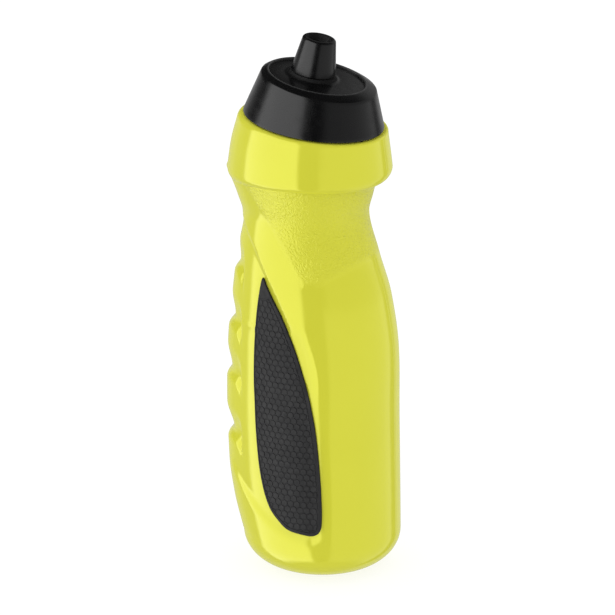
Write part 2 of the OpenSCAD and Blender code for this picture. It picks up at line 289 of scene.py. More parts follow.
def make_object(name, points, faces, material, sharp=35):
    mesh = bpy.data.meshes.new(name)
    mesh.from_pydata((np.asarray(points) * MM).tolist(), [], faces)
    mesh.validate()
    mesh.shade_smooth()
    mesh.set_sharp_from_angle(angle=math.radians(sharp))
    mesh.materials.append(material)
    piece = bpy.data.objects.new(name, mesh)
    bpy.context.scene.collection.objects.link(piece)
    return piece


def mark(piece, name, values):
    """Give each point of a piece a value that its material reads by name."""
    attribute = piece.data.attributes.new(name, "FLOAT", "POINT")
    attribute.data.foreach_set("value", np.asarray(values, np.float32))


class Skin:
    """Points and faces of closed solids, gathered before they become one object."""

    def __init__(self):
        self.points = []
        self.faces = []

    def add(self, points, faces):
        base = len(self.points)
        self.points.extend(np.asarray(points).tolist())
        self.faces.extend([tuple(base + i for i in face) for face in faces])

    def rings(self, rings, low=None, high=None):
        """A stack of rings, closed by a point at each end, or by joining the last ring to the first."""
        n = len(rings[0])
        count = len(rings)
        points = np.concatenate(rings)
        loop = low is None
        faces = []
        for k in range(count if loop else count - 1):
            a0, b0 = k * n, (k + 1) % count * n
            for i in range(n):
                j = (i + 1) % n
                faces.append((a0 + i, a0 + j, b0 + j, b0 + i))
        if not loop:
            points = np.concatenate([points, [low, high]])
            top = (count - 1) * n
            for i in range(n):
                j = (i + 1) % n
                faces.append((count * n, j, i))
                faces.append((count * n + 1, top + i, top + j))
        self.add(points, faces)

    def object(self, name, material, sharp=35):
        return make_object(name, self.points, self.faces, material, sharp)


def rounded(corners, steps=5):
    """Outline through corners (r, z, radius), with an arc at each corner that has a radius."""
    out = []
    count = len(corners)
    for k, (r, z, radius) in enumerate(corners):
        here = np.array([r, z], float)
        if radius <= 0:
            out.append(here)
            continue
        back = np.array(corners[k - 1][:2]) - here
        on = np.array(corners[(k + 1) % count][:2]) - here
        back_len, on_len = np.linalg.norm(back), np.linalg.norm(on)
        back, on = back / back_len, on / on_len
        half = math.acos(float(np.clip(back @ on, -1, 1))) / 2
        cut = min(radius / math.tan(half), 0.48 * back_len, 0.48 * on_len)
        radius = cut * math.tan(half)
        mid = (back + on) / np.linalg.norm(back + on)
        centre = here + mid * radius / math.sin(half)
        start, end = here + back * cut - centre, here + on * cut - centre
        turn = math.atan2(start[0] * end[1] - start[1] * end[0], float(start @ end))
        for i in range(steps + 1):
            t = turn * i / steps
            out.append(centre + np.array([
                start[0] * math.cos(t) - start[1] * math.sin(t),
                start[0] * math.sin(t) + start[1] * math.cos(t)]))
    return out


def turns(count):
    return np.arange(count) * 2 * math.pi / count


# ---- bottle ----

def thread_out(a, h):
    """How far the two-start thread stands out of the neck at angle a, height h above the ledge."""
    degrees = np.degrees(a)
    out = np.zeros_like(a)
    for start in (0, 180):
        for turn in (0, 360):
            along = degrees + turn - start
            off = np.abs(h - THREAD_START - THREAD_LEAD * along / 360)
            ends = clamp01(along / THREAD_RUN_OUT) * clamp01((THREAD_SWEEP - along) / THREAD_RUN_OUT)
            out = np.maximum(out, ends * smooth(THREAD_HALF + THREAD_FLANK, THREAD_HALF, off))
    return THREAD_H * out


def band_ring(a, z, inset=0.0):
    """Ring of the band above its widest line, or of its inside, which also sits lower by the inset."""
    centre, r, lean = [float(curve(BAND_ROWS, z, column)) for column in (1, 2, 3)]
    return leaning_ring(a, centre, z - inset, r - inset, math.radians(lean))


def ledge_rings(a, steps=6):
    """The band's rounded upper edge, on to the ledge that the cap stands over."""
    lip_z, lip_x, lip_r, lip_lean = BAND_ROWS[-1]
    ledge_r = BAND_R - LEDGE_ROUND
    rise = NECK.origin[2] - LEDGE_DROP - lip_z
    rings = []
    for t in np.linspace(0, 1, steps + 1)[1:]:
        angle = t * math.pi / 2
        rings.append(leaning_ring(
            a, lip_x + t * (NECK.origin[0] - lip_x), lip_z + rise * math.sin(angle),
            ledge_r + (lip_r - ledge_r) * math.cos(angle),
            math.radians(lip_lean) * (1 - t) + NECK.lean * t))
    return rings


def bottle_rings():
    a = turns(AROUND)
    stand_r = FOOT_R - FOOT_SIDE
    dimple = ((4, 1.15), (8, 0.9), (11, 0.4), (13.5, 0.05))
    rings = [flat_ring(a, r, z) for r, z in dimple]
    for t in np.radians(np.linspace(0, 90, 24)):
        rings.append(flat_ring(a, stand_r + FOOT_SIDE * math.sin(t), FOOT_ROUND * (1 - math.cos(t))))
    wall_heights = np.arange(FOOT_ROUND + 1.1, 183.5, 1.05)
    band_heights = np.linspace(183.6, 191.2, 20)
    rings += [wall_ring(a, z) for z in np.concatenate([wall_heights, band_heights])]
    rings += [band_ring(a, z) for z in np.linspace(BAND_Z, BAND_ROWS[-1][0], 14)]
    rings += ledge_rings(a)
    ledge = ((28.5, -0.15), (26.1, 0.0), (25.45, 0.15), (NECK_R, 0.55))
    rings += [NECK.ring(a, r, h) for r, h in ledge]
    for h in np.arange(0.8, NECK_H - 0.5, 0.27):
        rings.append(NECK.ring(a, NECK_R + thread_out(a, h), h))
    inner_r = NECK_R - NECK_T
    mouth = ((NECK_R, NECK_H - 0.4), (NECK_R - 0.12, NECK_H - 0.12), (NECK_R - 0.4, NECK_H),
             (inner_r + 0.4, NECK_H), (inner_r + 0.12, NECK_H - 0.12), (inner_r, NECK_H - 0.4),
             (inner_r, 6), (inner_r, 0.2), (inner_r + 0.4, -0.8), (26, -1.5))
    rings += [NECK.ring(a, r, h) for r, h in mouth]
    rings += [band_ring(a, z, WALL_T) for z in (209.8, 206, 201.6, 196.5, BAND_Z)]
    rings += [wall_ring(a, z, WALL_T) for z in np.arange(186.5, FOOT_ROUND + 3, -6)]
    for t in np.radians(np.linspace(90, 0, 9)):
        rings.append(flat_ring(a, stand_r + (FOOT_SIDE - WALL_T) * math.sin(t),
                               FOOT_ROUND - (FOOT_ROUND - WALL_T) * math.cos(t)))
    rings.append(flat_ring(a, 9, WALL_T + 0.9))
    return rings


def grain_mask(points):
    """1 on the finely grained waist: under the band, down to a slanting line on each side."""
    x, y, z = points.T
    low = 142 + 1.5 * np.maximum(3 - x, 0) + 0.5 * np.maximum(x - 9, 0)
    crease = BAND_Z - 3.0
    outside = np.hypot(x - NECK.origin[0], y) > NECK_R
    return smooth(0, 5, z - low) * smooth(crease + 1, crease - 1.5, z) * outside


def build_bottle(material):
    skin = Skin()
    skin.rings(bottle_rings(), low=(0, 0, 1.2), high=(0, 0, WALL_T + 1.0))     # middle of the dimple
    piece = skin.object("bottle_shell", material, sharp=40)
    mark(piece, "grain", grain_mask(np.array(skin.points)))
    return piece


# ---- grip panels ----

PANEL_T = 1.3           # the panel's face above the floor of its recess
PANEL_GAP = 0.4         # the panel's back stands this far off the wall
GROOVE = 0.22           # depth of the grooves between the cells
CELL = 3.1              # distance between the cells' centres
CELL_GAP = 0.40         # width of a groove
CELL_SLOPE = 0.14       # width of a cell's sloping sides
SMALLEST_CELL = 0.15    # a cell that the border cuts down to less than this area is left out
PLAIN_TIP = 9           # the relief ends this far below the panel's tip
BORDER_COUNT = 200      # points round the relief
WRAP_R = 40.0           # the panels' patterns are laid out on a wall of this radius


def unroll(x):
    return WRAP_R * np.arcsin(x / WRAP_R)


def side_point(s, z, out):
    """Point on the -Y wall at place s along its curve and height z, raised by out."""
    x = WRAP_R * np.sin(s / WRAP_R)
    centre = curve(STATIONS, z, 1)
    long_side = np.where(x > centre, curve(STATIONS, z, 2), curve(STATIONS, z, 3))
    width = curve(STATIONS, z, 4)
    y = width * np.sqrt(1 - ((x - centre) / long_side) ** 2)
    nx, ny = (x - centre) / long_side ** 2, y / width ** 2
    r = (out - dent(x, z)) / np.hypot(nx, ny)
    return np.stack([x + nx * r, -(y + ny * r), z], 1)


def panel_outline(count=400):
    """The panel's edge in the unrolled side view, evenly spaced and counter-clockwise, ends rounded."""
    low, high = PANEL_ROWS[0][0], PANEL_ROWS[-1][0]
    t = (1 - np.cos(np.linspace(0, math.pi, 400))) / 2
    z = low + (high - low) * t
    front = np.stack([unroll(curve(PANEL_ROWS, z, 2)), z], 1)
    rear = np.stack([unroll(curve(PANEL_ROWS, z, 1)), z], 1)
    line = np.concatenate([front, rear[::-1]])
    line = resample(line, count)
    for _ in range(5):
        line = (np.roll(line, 1, 0) + 2 * line + np.roll(line, -1, 0)) / 4
    return resample(line, count)


def resample(line, count):
    closed = np.concatenate([line, line[:1]])
    along = np.concatenate([[0], np.cumsum(np.linalg.norm(np.diff(closed, axis=0), axis=1))])
    at = np.linspace(0, along[-1], count, endpoint=False)
    return np.stack([np.interp(at, along, closed[:, k]) for k in (0, 1)], 1)


def inward(line):
    tangent = np.roll(line, -1, 0) - np.roll(line, 1, 0)
    tangent /= np.linalg.norm(tangent, axis=1)[:, None]
    return np.stack([-tangent[:, 1], tangent[:, 0]], 1)


def clip(polygon, origin, normal):
    """The part of a convex polygon on the side of a line that its normal points to."""
    out = []
    for k, p in enumerate(polygon):
        q = polygon[(k + 1) % len(polygon)]
        dp, dq = (p - origin) @ normal, (q - origin) @ normal
        if dp >= 0:
            out.append(p)
        if dp * dq < 0:
            out.append(p + (q - p) * dp / (dp - dq))
    return out


def cells(border):
    """Hexagons on a lattice with upright sides, clipped along the border."""
    normal = inward(border)
    low, high = border.min(0), border.max(0)
    row_step = CELL * math.sqrt(3) / 2
    corner = CELL / math.sqrt(3)
    out = []
    for row in range(int((high[1] - low[1]) / row_step) + 2):
        for column in range(int((high[0] - low[0]) / CELL) + 2):
            centre = low + np.array([(column + row % 2 / 2) * CELL, row * row_step])
            near = np.linalg.norm(border - centre, axis=1)
            k = int(near.argmin())
            depth = (centre - border[k]) @ normal[k]
            if depth < -corner:
                continue
            hexagon = [centre + corner * np.array([math.sin(t), math.cos(t)])
                       for t in np.radians(np.arange(0, -360, -60))]
            if near[k] < 2 * corner:
                for i in np.nonzero(near < 2.2 * corner)[0][::3]:
                    hexagon = clip(hexagon, border[i], normal[i])
                    if len(hexagon) < 3:
                        break
            if len(hexagon) >= 3:
                out.append(np.array(hexagon))
    return out


def shrink(polygon, by):
    """A convex counter-clockwise polygon moved in on every side, or None if nothing is left."""
    out = list(polygon)
    count = len(polygon)
    for k in range(count):
        p, q = polygon[k], polygon[(k + 1) % count]
        side = q - p
        length = np.linalg.norm(side)
        if length < 1e-6:
            continue
        normal = np.array([-side[1], side[0]]) / length
        out = clip(out, p + normal * by, normal)
        if len(out) < 3:
            return None
    out = np.array(out)
    keep = np.linalg.norm(out - np.roll(out, 1, 0), axis=1) > 0.02
    out = out[keep]
    if len(out) < 3:
        return None
    x, y = out.T
    area = 0.5 * np.sum(x * np.roll(y, -1) - y * np.roll(x, -1))
    return out if area > SMALLEST_CELL else None


def panel_surface():
    """Points (s, z), how far each stands out, and triangles, of one panel's face with its relief."""
    edge = panel_outline()
    normal = inward(edge)
    n = len(edge)
    plan, out, chains = [], [], []

    def add_loop(line, height):
        chains.append((len(plan), len(line)))
        plan.extend(line)
        out.extend([height] * len(line))

    for inset, drop in ((0.0, 0.45), (0.12, 0.16), (0.36, 0.02)):
        add_loop(edge + normal * inset, PANEL_T - drop)
    facing = np.clip(-normal[:, 0], 0, 1) + np.clip(normal[:, 1], 0, 1) * (edge[:, 1] < 60)
    border_w = 0.75 + 0.75 * clamp01(facing)
    tip_z = PANEL_ROWS[-1][0]
    taper = clamp01((tip_z - edge[:, 1]) / 10)
    inner = resample(edge + normal * (0.1 + border_w * taper)[:, None], BORDER_COUNT)
    inner = resample(inner[inner[:, 1] < tip_z - PLAIN_TIP], BORDER_COUNT)
    floor = resample(inner + inward(inner) * 0.18, BORDER_COUNT)
    add_loop(inner, PANEL_T)
    add_loop(floor, PANEL_T - GROOVE)
    for cell in cells(floor):
        base = shrink(cell, CELL_GAP / 2)
        top = shrink(cell, CELL_GAP / 2 + CELL_SLOPE)
        if base is not None and top is not None:
            add_loop(base, PANEL_T - GROOVE)
            add_loop(top, PANEL_T - 0.02)
    edges = [(start + i, start + (i + 1) % size) for start, size in chains for i in range(size)]
    verts, _, faces, origins, _, _ = delaunay_2d_cdt(
        [Vector(p) for p in plan], edges, [tuple(range(n))], 1, 1e-5)
    height = [out[source[0]] if source else PANEL_T - GROOVE for source in origins]
    flat = np.array([(v[0], v[1]) for v in verts])
    return flat, np.array(height), [tuple(f) for f in faces]


def open_edge(faces):
    """The points round the open edge of a sheet of triangles, in order."""
    sides = dict.fromkeys((f[i], f[(i + 1) % 3]) for f in faces for i in range(3))
    after = {a: b for a, b in sides if (b, a) not in sides}
    start = next(iter(after))
    loop = [start]
    while after[loop[-1]] != start:
        loop.append(after[loop[-1]])
    return loop


def build_grips(material):
    flat, height, faces = panel_surface()
    face_points = side_point(flat[:, 0], flat[:, 1], height)
    loop = open_edge(faces)
    count = len(loop)
    lines = [(i, (i + 1) % count) for i in range(count)]
    inside = [(s, z) for z in np.arange(30, 140, 5.0) for s in np.arange(-20, 14, 4.0)]
    verts, _, back_faces, _, _, _ = delaunay_2d_cdt(
        [Vector(flat[i]) for i in loop] + [Vector(p) for p in inside], lines,
        [tuple(range(count))], 1, 1e-5)
    plan = np.array([(v[0], v[1]) for v in verts])
    back = side_point(plan[:, 0], plan[:, 1], np.full(len(plan), PANEL_GAP))
    base = len(face_points)
    points = np.concatenate([face_points, back])
    order = {tuple(np.round(p, 4)): base + i for i, p in enumerate(plan)}
    under = [order[tuple(np.round(flat[i], 4))] for i in loop]
    all_faces = list(faces) + [tuple(base + i for i in reversed(f)) for f in back_faces]
    for i, j in lines:
        all_faces.append((loop[j], loop[i], under[i], under[j]))
    right = make_object("grip_panel_right", points, all_faces, material, sharp=28)
    mirrored = points * np.array([1, -1, 1])
    left_faces = [tuple(reversed(f)) for f in all_faces]
    left = make_object("grip_panel_left", mirrored, left_faces, material, sharp=28)
    return left, right


# ---- cap ----

SKIRT_R = 32.5          # outer radius at the foot of the skirt
CAP_GAP = 0.35          # between the ledge and the skirt
CREASE_R = 26.76        # crease between the skirt and the chamfer, in the top's axes
CREASE_X = 1.24         # its middle stands this far in front of the rim's
CREASE_Z = -1.85        # and this far below
CHAMFER_BULGE = 0.12
RIM_R = 22.88           # rim round the recessed disc
RIM_ROUND = 0.45        # rounding of the rim
SEAT_R = RIM_R - 0.66   # wall round the disc
SEAT_DROP = 1.6         # the disc's seat is this far below its face
DISC_DROP = 1.1         # the disc's face below the rim
DISC_DOME = 0.4         # and its rise towards the spout
DISC_T = 1.55
DECK_HOLE_R = 21.5      # hole through the deck, which the disc covers
BORE_R = 27.0
DECK_Z = 13.25          # underside of the deck above the ledge
CAP_STEPS = 192         # steps round the cap
LUG_STARTS = (130, 220, 310, 400)       # degrees round the neck


def lug(skin, along):
    """A lug inside the cap that runs in the gap under a thread, this many degrees round the neck.

    Past half a turn the height starts again, so the lugs at 220 and 400 come one pitch lower than
    the CAD's, where the cap is wider and their roots don't reach its wall.
    """
    sweep = np.radians(along + np.linspace(-6, 6, 9))
    middle = THREAD_START - THREAD_LEAD / 4         # half a pitch below the thread
    inner, outer = NECK_R + 0.55, BORE_R + 0.4
    outline = rounded([(outer, -0.75, 0), (outer, 0.75, 0), (inner, 0.45, 0.2), (inner, -0.45, 0.2)], 3)
    rings = []
    for t in sweep:
        h = middle + THREAD_LEAD * (math.degrees(t) % 180) / 360
        rings.append(np.array([NECK.at(r * math.cos(t), r * math.sin(t), h + z) for r, z in outline]))
    skin.rings(rings, low=rings[0].mean(0), high=rings[-1].mean(0))


def build_cap_shell(material):
    a = turns(CAP_STEPS)
    foot = NECK.ring(a, SKIRT_R, CAP_GAP)
    crease = TOP.ring(a, CREASE_R, CREASE_Z, CREASE_X)
    rim = TOP.ring(a, RIM_R, 0)
    rings = [NECK.ring(a, SKIRT_R - 1.5, CAP_GAP), NECK.ring(a, SKIRT_R - 0.3, CAP_GAP),
             NECK.ring(a, SKIRT_R - 0.08, CAP_GAP + 0.08)]
    for t in np.linspace(0.015, 0.985, 14):
        rings.append(foot * (1 - t) + crease * t)
    rings.append(crease * 0.97 + foot * 0.007 + rim * 0.023)
    for t in np.linspace(0.06, 0.95, 9):
        bulge = CHAMFER_BULGE * math.sin(t * math.pi)
        rings.append(crease * (1 - t) + rim * t + bulge * TOP.z)
    for t in np.radians(np.linspace(62, 180, 10)):
        rings.append(TOP.ring(a, SEAT_R + RIM_ROUND * (1 + math.cos(t)), RIM_ROUND * (math.sin(t) - 1)))
    for r in (SEAT_R, DECK_HOLE_R):
        rings.append(TOP.ring(a, r, -DISC_DROP - SEAT_DROP))
    inner = rounded([(DECK_HOLE_R, DECK_Z, 0), (BORE_R, DECK_Z, 0.5), (BORE_R, 4.2, 0),
                     (SKIRT_R - 2.2, CAP_GAP, 0)], 4)
    rings += [NECK.ring(a, r, h) for r, h in inner]
    skin = Skin()
    skin.rings(rings)
    for along in LUG_STARTS:
        lug(skin, along)
    piece = skin.object("screw_cap", material, sharp=30)
    x, y, z = TOP.local(np.array(skin.points))
    # The rim round the disc and its inner edge are marked to be painted a lighter grey, a painted
    # highlight for the thin bright line on the rim, and to be made a little rougher.
    mark(piece, "lightened", smooth(RIM_R + 0.4, RIM_R + 0.1, np.hypot(x, y)) * (z > -DISC_DROP))
    return piece


SPOUT_BASE_R = 10.4
SPOUT_TIP_R = 7.6
SPOUT_Z0 = 1.1          # foot of the spout above the plane of the rim
SPOUT_Z1 = 17.8         # its tip
HOLE_R = 5.2            # drinking hole
FLARE_W = 3.0           # the disc curves up to the spout's foot
FLARE_TOP = SPOUT_Z0 - 0.1
CHIMNEY_R = 5.95
CHIMNEY_BORE_R = 4.1
CHIMNEY_TOP = 10.2
GROOVE_R = 5.0          # groove for the O-ring
GROOVE_Z = (7.9, 9.2)
LIP_R = 6.2             # the lip above it, which holds the spout
PIN_R = 1.6
PIN_FOOT = -3
PIN_TOP = 14.1
PLUG_R = 3.05           # the pin's head closes the spout's throat
THROAT_R = 3.15
GUIDE_R = 6.05          # the spout's lip slides on the chimney
SPOUT_BORE_R = 6.35
RIB_HALF = 0.6          # half the thickness of a rib that holds the pin


def disc_rings(a):
    """The disc from under the chimney, round its rim and over its dome, and up the flare."""
    under = -DISC_DROP - DISC_T
    disc_r = SEAT_R - 0.04
    foot_r = SPOUT_BASE_R - 0.2 + FLARE_W
    flare_z = -DISC_DROP + DISC_DOME
    rings = [SPOUT.ring(a, CHIMNEY_BORE_R, under), TOP.ring(a, disc_r - 0.2, under),
             TOP.ring(a, disc_r, under + 0.2), TOP.ring(a, disc_r, -DISC_DROP - 0.12)]
    outer = TOP.ring(a, disc_r - 0.12, -DISC_DROP)
    inner = SPOUT.ring(a, foot_r, -DISC_DROP)
    for t in np.linspace(0, 0.97, 10):
        dome = DISC_DOME * (1 - (1 - t) ** 2)
        rings.append(outer * (1 - t) + inner * t + dome * TOP.z)
    for t in np.radians(np.arange(6, 91, 6)):
        rings.append(SPOUT.ring(a, foot_r - FLARE_W * math.sin(t),
                                flare_z + (FLARE_TOP - flare_z) * (1 - math.cos(t))))
    return rings


def rib(skin, turn):
    """A rib between the pin and the chimney's bore."""
    u = np.array([math.cos(math.radians(turn)), math.sin(math.radians(turn))])
    v = np.array([-u[1], u[0]])
    corners = [u * r + v * side for r, side in (
        (1.2, -RIB_HALF), (4.3, -RIB_HALF), (4.3, RIB_HALF), (1.2, RIB_HALF))]
    low = np.array([SPOUT.at(c[0], c[1], -2.9) for c in corners])
    high = np.array([SPOUT.at(c[0], c[1], 8.8) for c in corners])
    skin.rings([low, high], low=low.mean(0), high=high.mean(0))


def build_cap_insert(material):
    a = turns(CAP_STEPS)
    groove_low, groove_high = GROOVE_Z
    chimney = rounded([
        (SPOUT_BASE_R - 0.75, FLARE_TOP, 0.15), (CHIMNEY_R, FLARE_TOP, 0.3),
        (CHIMNEY_R, groove_low, 0), (GROOVE_R, groove_low, 0), (GROOVE_R, groove_high, 0),
        (LIP_R, groove_high + 0.2, 0), (LIP_R, CHIMNEY_TOP - 0.3, 0.2),
        (CHIMNEY_R, CHIMNEY_TOP, 0.2), (CHIMNEY_BORE_R, CHIMNEY_TOP, 0.3)], 3)
    skin = Skin()
    skin.rings(disc_rings(a) + [SPOUT.ring(a, r, z) for r, z in chimney])
    pin = rounded([(PIN_R, PIN_FOOT, 0.3), (PIN_R, 11.2, 0.3),
                   (PLUG_R, 12.4, 0.2), (PLUG_R, PIN_TOP, 0.4)], 4)
    skin.rings([SPOUT.ring(turns(48), r, z) for r, z in pin],
               low=SPOUT.at(0, 0, PIN_FOOT), high=SPOUT.at(0, 0, PIN_TOP))
    for turn in (0, 120, 240):
        rib(skin, turn)
    piece = skin.object("cap_disc_and_chimney", material, sharp=30)
    x, y, z = SPOUT.local(np.array(skin.points))
    mark(piece, "matte", smooth(SPOUT_BASE_R + 1.4, SPOUT_BASE_R + 0.4, np.hypot(x, y)) * (z < 2))
    return piece


def build_spout(material):
    outline = rounded([
        (GUIDE_R, SPOUT_Z0, 0.15), (SPOUT_BASE_R, SPOUT_Z0, 0.5), (SPOUT_TIP_R, SPOUT_Z1, 1.2),
        (HOLE_R, SPOUT_Z1, 0.4), (THROAT_R, 13.8, 0.2), (THROAT_R, 12.6, 0.2),
        (SPOUT_BORE_R, 11.5, 0.3), (SPOUT_BORE_R, SPOUT_Z0 + 1.2, 0), (GUIDE_R, SPOUT_Z0 + 0.9, 0)], 6)
    skin = Skin()
    skin.rings([SPOUT.ring(turns(144), r, z) for r, z in outline])
    piece = skin.object("pull_spout", material, sharp=30)
    x, y, z = SPOUT.local(np.array(skin.points))
    mark(piece, "matte", smooth(HOLE_R + 0.5, HOLE_R + 0.1, np.hypot(x, y)) * (z > 12))
    return piece


def build_gasket(material):
    low, high = NECK_H + 0.05, DECK_Z - 0.05
    inner, outer = NECK_R - 3.2, BORE_R - 0.4
    outline = rounded([(outer, low, 0.3), (outer, high, 0.3), (inner, high, 0.3), (inner, low, 0.3)], 4)
    skin = Skin()
    skin.rings([NECK.ring(turns(144), r, z) for r, z in outline])
    return skin.object("mouth_gasket", material)


def build_o_ring(material):
    radius, section = 5.65, 0.65
    skin = Skin()
    skin.rings([SPOUT.ring(turns(96), radius + section * math.cos(t), RING_Z + section * math.sin(t))
                for t in turns(24)])
    return skin.object("spout_o_ring", material)


# ---- materials ----

class Nodes:
    """A material with a Principled shader, and a short way to add and join its nodes."""

    def __init__(self, name):
        self.material = bpy.data.materials.new(name)
        self.material.use_nodes = True
        self.tree = self.material.node_tree
        self.shader = self.tree.nodes["Principled BSDF"]
        self.place = self.add("ShaderNodeTexCoord").outputs["Object"]

    def add(self, kind, **values):
        node = self.tree.nodes.new(kind)
        for key, value in values.items():
            setattr(node, key, value)
        return node

    def join(self, output, socket):
        self.tree.links.new(output, socket)

    def noise(self, scale, detail):
        node = self.add("ShaderNodeTexNoise")
        node.inputs["Scale"].default_value = scale
        node.inputs["Detail"].default_value = detail
        self.join(self.place, node.inputs["Vector"])
        return node.outputs["Fac"]

    def math(self, operation, a, b):
        node = self.add("ShaderNodeMath", operation=operation)
        for socket, value in zip(node.inputs, (a, b)):
            if isinstance(value, (int, float)):
                socket.default_value = value
            else:
                self.join(value, socket)
        return node.outputs[0]

    def ramp(self, value, low, high, start=0.3, end=0.7):
        node = self.add("ShaderNodeMapRange")
        node.inputs["From Min"].default_value = start
        node.inputs["From Max"].default_value = end
        node.inputs["To Min"].default_value = low
        node.inputs["To Max"].default_value = high
        self.join(value, node.inputs["Value"])
        return node.outputs["Result"]

    def mix(self, factor, a, b):
        node = self.add("ShaderNodeMix", data_type="RGBA")
        self.join(factor, node.inputs["Factor"])
        for name, colour in (("A", a), ("B", b)):
            socket = next(s for s in node.inputs if s.name == name and s.type == "RGBA")
            if isinstance(colour, tuple):
                socket.default_value = (*colour, 1)
            else:
                self.join(colour, socket)
        return next(s for s in node.outputs if s.type == "RGBA")

    def edges(self):
        """1 on convex edges, 0 elsewhere."""
        node = self.add("ShaderNodeNewGeometry")
        return self.ramp(node.outputs["Pointiness"], 0.0, 1.0, 0.53, 0.62)

    def bump(self, height, strength, distance, normal=None):
        node = self.add("ShaderNodeBump")
        node.inputs["Strength"].default_value = strength
        node.inputs["Distance"].default_value = distance
        self.join(height, node.inputs["Height"])
        if normal is not None:
            self.join(normal, node.inputs["Normal"])
        return node.outputs["Normal"]

    def finish(self, colour, roughness, normal, **values):
        for key, value in values.items():
            self.shader.inputs[key].default_value = value
        self.join(colour, self.shader.inputs["Base Color"])
        self.join(roughness, self.shader.inputs["Roughness"])
        self.join(normal, self.shader.inputs["Normal"])
        return self.material


def body_plastic():
    m = Nodes("glossy_yellow_polyethylene")
    colour = m.mix(m.ramp(m.noise(22, 3), 0, 1), (0.622, 0.622, 0.046), (0.640, 0.640, 0.051))
    roughness = m.ramp(m.noise(160, 4), 0.08, 0.13)
    grain = m.add("ShaderNodeAttribute", attribute_name="grain").outputs["Fac"]
    pebbles = m.add("ShaderNodeTexVoronoi", feature="SMOOTH_F1")
    pebbles.inputs["Scale"].default_value = 1200
    m.join(m.place, pebbles.inputs["Vector"])
    stipple = m.math("MULTIPLY", m.math("ADD", pebbles.outputs["Distance"], m.noise(1600, 2)), grain)
    split = m.add("ShaderNodeSeparateXYZ")
    m.join(m.place, split.inputs[0])
    from_seam = m.math("ABSOLUTE", split.outputs["Y"], 0.0)
    seam = m.ramp(from_seam, 1.0, 0.0, 0.0, 0.00025)
    peel = m.bump(m.noise(240, 2), 0.08, 0.0002)
    parted = m.bump(seam, 0.35, 0.0001, peel)
    normal = m.bump(stipple, 1.0, 0.0003, parted)
    return m.finish(colour, roughness, normal, **{
        "IOR": 1.5, "Specular IOR Level": 1.0, "Specular Tint": (1.0, 1.0, 0.25, 1.0),
        "Sheen Weight": 0.25, "Sheen Roughness": 0.45, "Sheen Tint": (1.0, 1.0, 0.15, 1.0)})


def cap_plastic():
    m = Nodes("black_polypropylene")
    plain = m.mix(m.ramp(m.noise(60, 3), 0, 1), (0.0018, 0.0018, 0.0020), (0.0026, 0.0026, 0.0028))
    # Painted highlight: the marked rim is painted a lighter grey for its thin bright line, and made a
    # little rougher; convex edges are painted a little lighter too.
    rim = m.add("ShaderNodeAttribute", attribute_name="lightened").outputs["Fac"]
    lightened = m.math("MAXIMUM", m.math("MULTIPLY", m.edges(), 0.25), rim)
    colour = m.mix(lightened, plain, (0.040, 0.040, 0.040))
    matte = m.add("ShaderNodeAttribute", attribute_name="matte").outputs["Fac"]
    dull = m.math("ADD", m.math("MULTIPLY", lightened, 0.10), m.math("MULTIPLY", matte, 0.5))
    roughness = m.math("ADD", m.ramp(m.noise(300, 5), 0.22, 0.30), dull)
    normal = m.bump(m.noise(1500, 3), 0.05, 0.0001)
    return m.finish(colour, roughness, normal, **{"IOR": 1.5, "Specular IOR Level": 0.35})


def grip_rubber():
    m = Nodes("black_grip_rubber")
    plain = m.mix(m.ramp(m.noise(90, 4), 0, 1), (0.007, 0.007, 0.0075), (0.010, 0.010, 0.0105))
    lightened = m.math("MULTIPLY", m.edges(), m.ramp(m.noise(120, 2), 0.2, 0.8))
    colour = m.mix(lightened, plain, (0.026, 0.026, 0.026))
    roughness = m.ramp(m.noise(500, 4), 0.52, 0.68)
    normal = m.bump(m.noise(2600, 4), 0.25, 0.0001)
    return m.finish(colour, roughness, normal, **{"IOR": 1.5, "Specular IOR Level": 0.22})


def seal_rubber():
    m = Nodes("pale_silicone")
    colour = m.mix(m.ramp(m.noise(120, 3), 0, 1), (0.50, 0.50, 0.47), (0.56, 0.56, 0.53))
    roughness = m.ramp(m.noise(400, 3), 0.40, 0.52)
    normal = m.bump(m.noise(1800, 3), 0.12, 0.0001)
    return m.finish(colour, roughness, normal, IOR=1.42)


# ---- studio ----

VIEW_AZIMUTH = math.radians(22)
VIEW_ELEVATION = math.radians(18)
VIEW_DISTANCE = 2.3
LENS = 292.5
AIM = Vector((-0.0063, -0.0029, 0.1239))


def build_camera():
    data = bpy.data.cameras.new("camera")
    data.lens = LENS
    data.clip_end = 20
    camera = bpy.data.objects.new("camera", data)
    bpy.context.scene.collection.objects.link(camera)
    flat = math.cos(VIEW_ELEVATION)
    back = Vector((math.sin(VIEW_AZIMUTH) * flat, -math.cos(VIEW_AZIMUTH) * flat,
                   math.sin(VIEW_ELEVATION)))
    camera.location = AIM + VIEW_DISTANCE * back
    camera.rotation_euler = back.to_track_quat("Z", "Y").to_euler()
    bpy.context.scene.camera = camera


# What a glossy surface sees of the studio: world bearing in degrees, brightness. The low wall is
# the one that upright sides mirror, and the others stand above it.
LOW_WALL = [
    (-180, 0.4), (-174, 0.45), (-168, 2.9), (-88, 2.9), (-83, 0.03), (-58, 0.03), (-54, 0.74),
    (37, 0.74), (42, 0.85), (52, 0.85), (56, 0.1), (68, 0.1), (74, 0.55), (157, 0.5), (162, 0.4),
    (180, 0.4),
]
MIDDLE_WALL = [
    (-180, 0.05), (-173, 0.1), (-168, 2.7), (-88, 2.7), (-83, 0.03), (-51, 0.03), (-46, 0.4),
    (80, 0.4), (100, 0.30), (106, 0.04), (180, 0.04),
]
HIGH_WALL = [
    (-180, 0.04), (-173, 0.05), (-168, 2.7), (-88, 2.7), (-83, 0.03), (-51, 0.03), (60, 0.05),
    (180, 0.04),
]
CEILING = 0.04
GROUND = 0.3
SOFT_LIGHT = 1.06       # the even light that colours every surface


